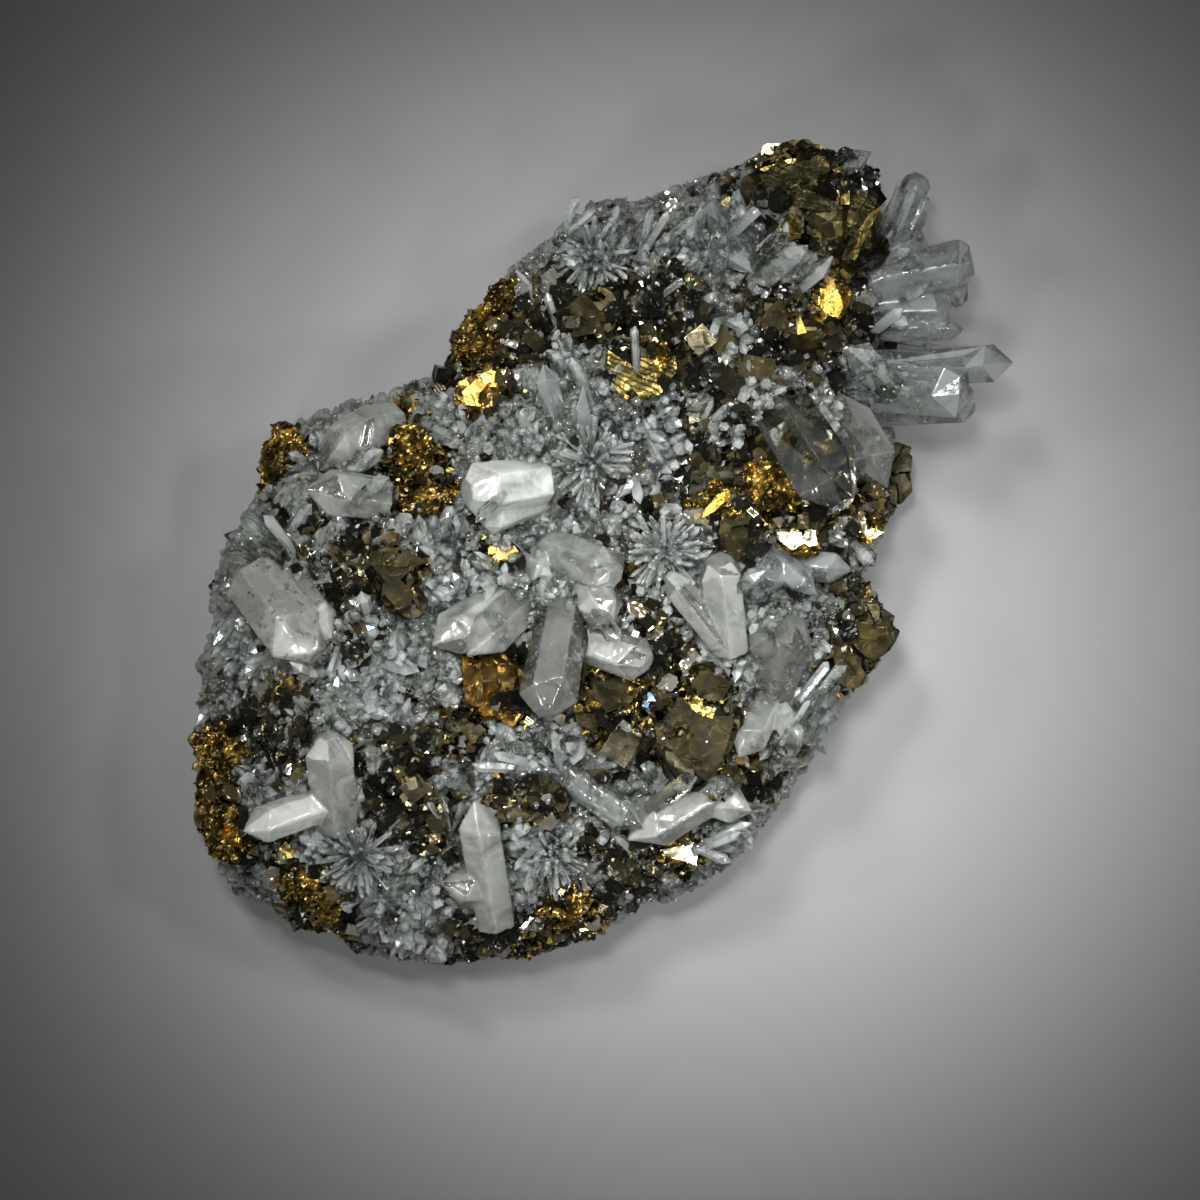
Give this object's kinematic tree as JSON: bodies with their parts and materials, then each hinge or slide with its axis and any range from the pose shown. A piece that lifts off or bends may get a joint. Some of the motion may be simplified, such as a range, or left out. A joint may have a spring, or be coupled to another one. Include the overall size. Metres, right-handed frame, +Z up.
{
  "type": "chalcopyrite mineral specimen",
  "caption": "Hand specimen of brassy chalcopyrite lumps with clear and milky quartz crystals and sprays on a dark sulphide rock, lying on its flat back.",
  "frame": {"origin": "on the resting plane, under the middle of the specimen's box", "axes": "+Z up, away from the flat back and towards the crystals; +X and +Y span the face, with the narrow end of the specimen towards +X +Y"},
  "size_m": [0.0826, 0.0838, 0.0304],
  "materials": {
    "rock": "dark grey granular sulphide, metallic glints",
    "chalcopyrite": "bright brassy metal, bronze and olive tarnish",
    "quartz": "clear to milky crystal",
    "pyrite": "pale brass metal, striated"
  },
  "bodies": {
    "root": {"rock": "rock", "chalcopyrite_crown": "chalcopyrite", "chalcopyrite_flame": "chalcopyrite", "chalcopyrite_steps": "chalcopyrite", "chalcopyrite_spire": "chalcopyrite", "chalcopyrite_ridge": "chalcopyrite", "chalcopyrite_nugget": "chalcopyrite", "chalcopyrite_horn": "chalcopyrite", "chalcopyrite_grainy": "chalcopyrite", "chalcopyrite_west": "chalcopyrite", "chalcopyrite_flank": "chalcopyrite", "chalcopyrite_heel": "chalcopyrite", "chalcopyrite_spark": "chalcopyrite", "chalcopyrite_amber": "chalcopyrite", "chalcopyrite_ember": "chalcopyrite", "chalcopyrite_lens": "chalcopyrite", "chalcopyrite_cup": "chalcopyrite", "chalcopyrite_slab": "chalcopyrite", "chalcopyrite_bar": "chalcopyrite", "chalcopyrite_drift": "chalcopyrite", "chalcopyrite_fire": "chalcopyrite", "chalcopyrite_glint": "chalcopyrite", "chalcopyrite_disc": "chalcopyrite", "chalcopyrite_shoulder": "chalcopyrite", "chalcopyrite_keel": "chalcopyrite", "chalcopyrite_hem": "chalcopyrite", "chalcopyrite_olive": "chalcopyrite", "quartz_fan_upper": "quartz", "quartz_fan_middle": "quartz", "quartz_fan_point": "quartz", "quartz_pendant": "quartz", "quartz_smoky": "quartz", "quartz_giant": "quartz", "quartz_tusk": "quartz", "quartz_tower": "quartz", "quartz_flame": "quartz", "quartz_block": "quartz", "quartz_middle": "quartz", "quartz_bean": "quartz", "quartz_pair": "quartz", "quartz_column": "quartz", "quartz_buttons": "quartz", "quartz_slanted": "quartz", "quartz_lower": "quartz", "quartz_edge": "quartz", "quartz_log": "quartz", "quartz_glassy": "quartz", "quartz_blade": "quartz", "quartz_crest": "quartz", "quartz_milky": "quartz", "quartz_pebble": "quartz", "quartz_spray_north": "quartz", "quartz_spray_centre": "quartz", "quartz_spray_east": "quartz", "quartz_spray_west": "quartz", "quartz_spray_south": "quartz", "pyrite_cube_south": "pyrite", "pyrite_cube_north": "pyrite", "pyrite_cube_west": "pyrite"}
  },
  "joints": []
}
